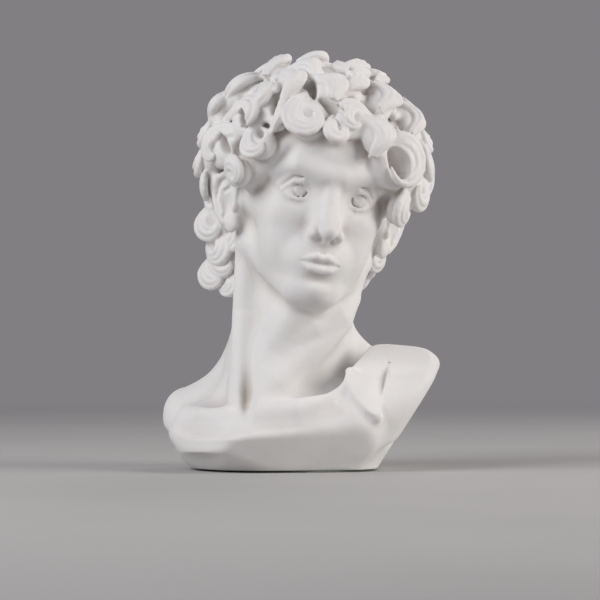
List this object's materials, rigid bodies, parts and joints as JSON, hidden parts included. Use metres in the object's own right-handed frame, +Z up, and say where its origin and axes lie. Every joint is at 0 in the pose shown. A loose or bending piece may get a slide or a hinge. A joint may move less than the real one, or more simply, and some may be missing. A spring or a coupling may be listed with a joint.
{
  "type": "marble bust",
  "caption": "Free-standing classical head, neck and cut chest, cast hollow in white bonded marble, with curled hair, a cut-off raised shoulder and a felted base",
  "frame": {"origin": "centre of the flat resting face, under the felt", "axes": "+Z up, the longest extent; -Y towards the viewer, the side the bust is shown from; +X to the viewer's right"},
  "size_m": [0.1966, 0.1671, 0.2999],
  "materials": {
    "bonded_marble": "matte white cast bonded marble, unpolished",
    "rod_steel": "plain drawn steel rod",
    "tie_resin": "poured polyester resin with chopped fibre",
    "ballast_mortar": "rough sanded resin mortar",
    "plate_board": "dense pressed board, painted off-white",
    "bung_rubber": "moulded black rubber",
    "base_felt": "pressed wool felt, dark green"
  },
  "bodies": {
    "root": {"bust_casting": "bonded_marble", "neck_rod": "rod_steel", "upper_tie": "tie_resin", "lower_tie": "tie_resin", "ballast": "ballast_mortar", "base_plate": "plate_board", "filler_bung": "bung_rubber", "felt_base": "base_felt"}
  },
  "joints": []
}
